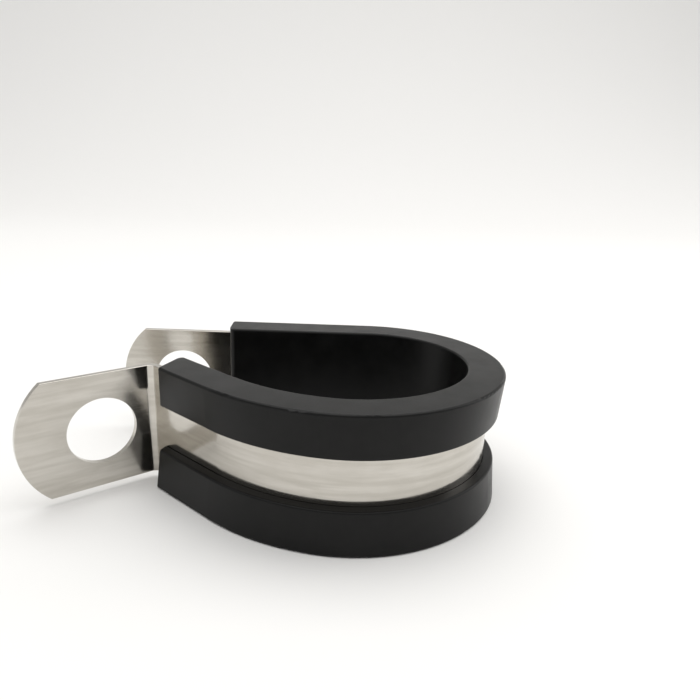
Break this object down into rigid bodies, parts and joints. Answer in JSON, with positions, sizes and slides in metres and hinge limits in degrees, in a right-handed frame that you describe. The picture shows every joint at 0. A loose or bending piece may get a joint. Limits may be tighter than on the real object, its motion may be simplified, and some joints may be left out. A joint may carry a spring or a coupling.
{
  "type": "p-clip",
  "caption": "Rubber-lined steel P-clip, sprung open, that wraps a cable, hose or pipe and bolts down through aligned holes in its tabs.",
  "frame": {"origin": "centre of the clip's bore, halfway along it", "axes": "+Z along the bore's axis; +X along the flat back of the strap, away from its tabs; +Y out of the flat back"},
  "size_m": [0.0592, 0.0361, 0.0172],
  "materials": {
    "steel": "polished",
    "rubber": "satin"
  },
  "bodies": {
    "root": {"strap": "steel", "liner": "rubber"}
  },
  "joints": []
}
